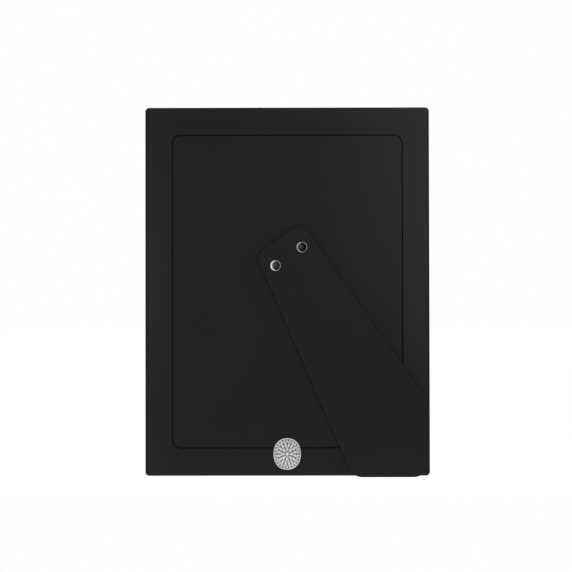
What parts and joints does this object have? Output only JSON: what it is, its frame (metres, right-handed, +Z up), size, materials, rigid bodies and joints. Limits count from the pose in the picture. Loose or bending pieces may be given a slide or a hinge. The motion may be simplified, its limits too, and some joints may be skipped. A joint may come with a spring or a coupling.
{
  "type": "easel back photo frame",
  "caption": "Upright photo frame with a lift-out black back, a slanted hinged easel strut that stands it portrait or landscape, and an oval turn button that locks the back.",
  "frame": {"origin": "middle of the flat base that the upright frame stands on, half way through the frame's depth", "axes": "+Z up the frame's height, +Y from the back towards the picture side, +X to the right seen from behind"},
  "size_m": [0.1726, 0.0223, 0.2236],
  "materials": {
    "black_lacquer": "fibreboard under a smooth satin black lacquer",
    "bright_nickel": "polished nickel plate",
    "plated_silver": "stamped and silver plated, softly tarnished in the hollows",
    "steel": "zinc plated",
    "brass": "turned",
    "fibre": "pressed fibre",
    "glass": "clear float glass",
    "print_paper": "satin photo paper",
    "grey_board": "plain grey board"
  },
  "bodies": {
    "frame": {"back_ring": "black_lacquer", "back_panel": "black_lacquer", "bottom_rail": "black_lacquer", "top_rail": "black_lacquer", "left_rail": "black_lacquer", "right_rail": "black_lacquer", "corner_nails": "steel", "locating_pins": "black_lacquer", "sight_slip": "plated_silver", "glass_pane": "glass", "photo_print": "print_paper", "spacer_board": "grey_board", "base_leaf": "steel", "base_rivets": "steel", "hinge_pin": "steel", "button_bush": "brass", "button_washer": "fibre"},
    "strut": {"strut_board": "black_lacquer", "strut_leaf": "steel", "strut_rivets": "bright_nickel"},
    "turn_button": {"button_plate": "plated_silver", "button_stud": "brass", "button_spring": "steel", "button_nut": "steel"}
  },
  "joints": [
    {"name": "strut_hinge", "type": "hinge", "parent": "frame", "child": "strut", "pos_m": [-0.00442, -0.00865, 0.14053], "axis": [-0.8171, 0, -0.5764], "range_deg": [0, 30]},
    {"name": "button_turn", "type": "hinge", "parent": "frame", "child": "turn_button", "pos_m": [-0.00025, -0.0085, 0.0088], "axis": [0, -1, 0], "range_deg": [-90, 90]}
  ]
}
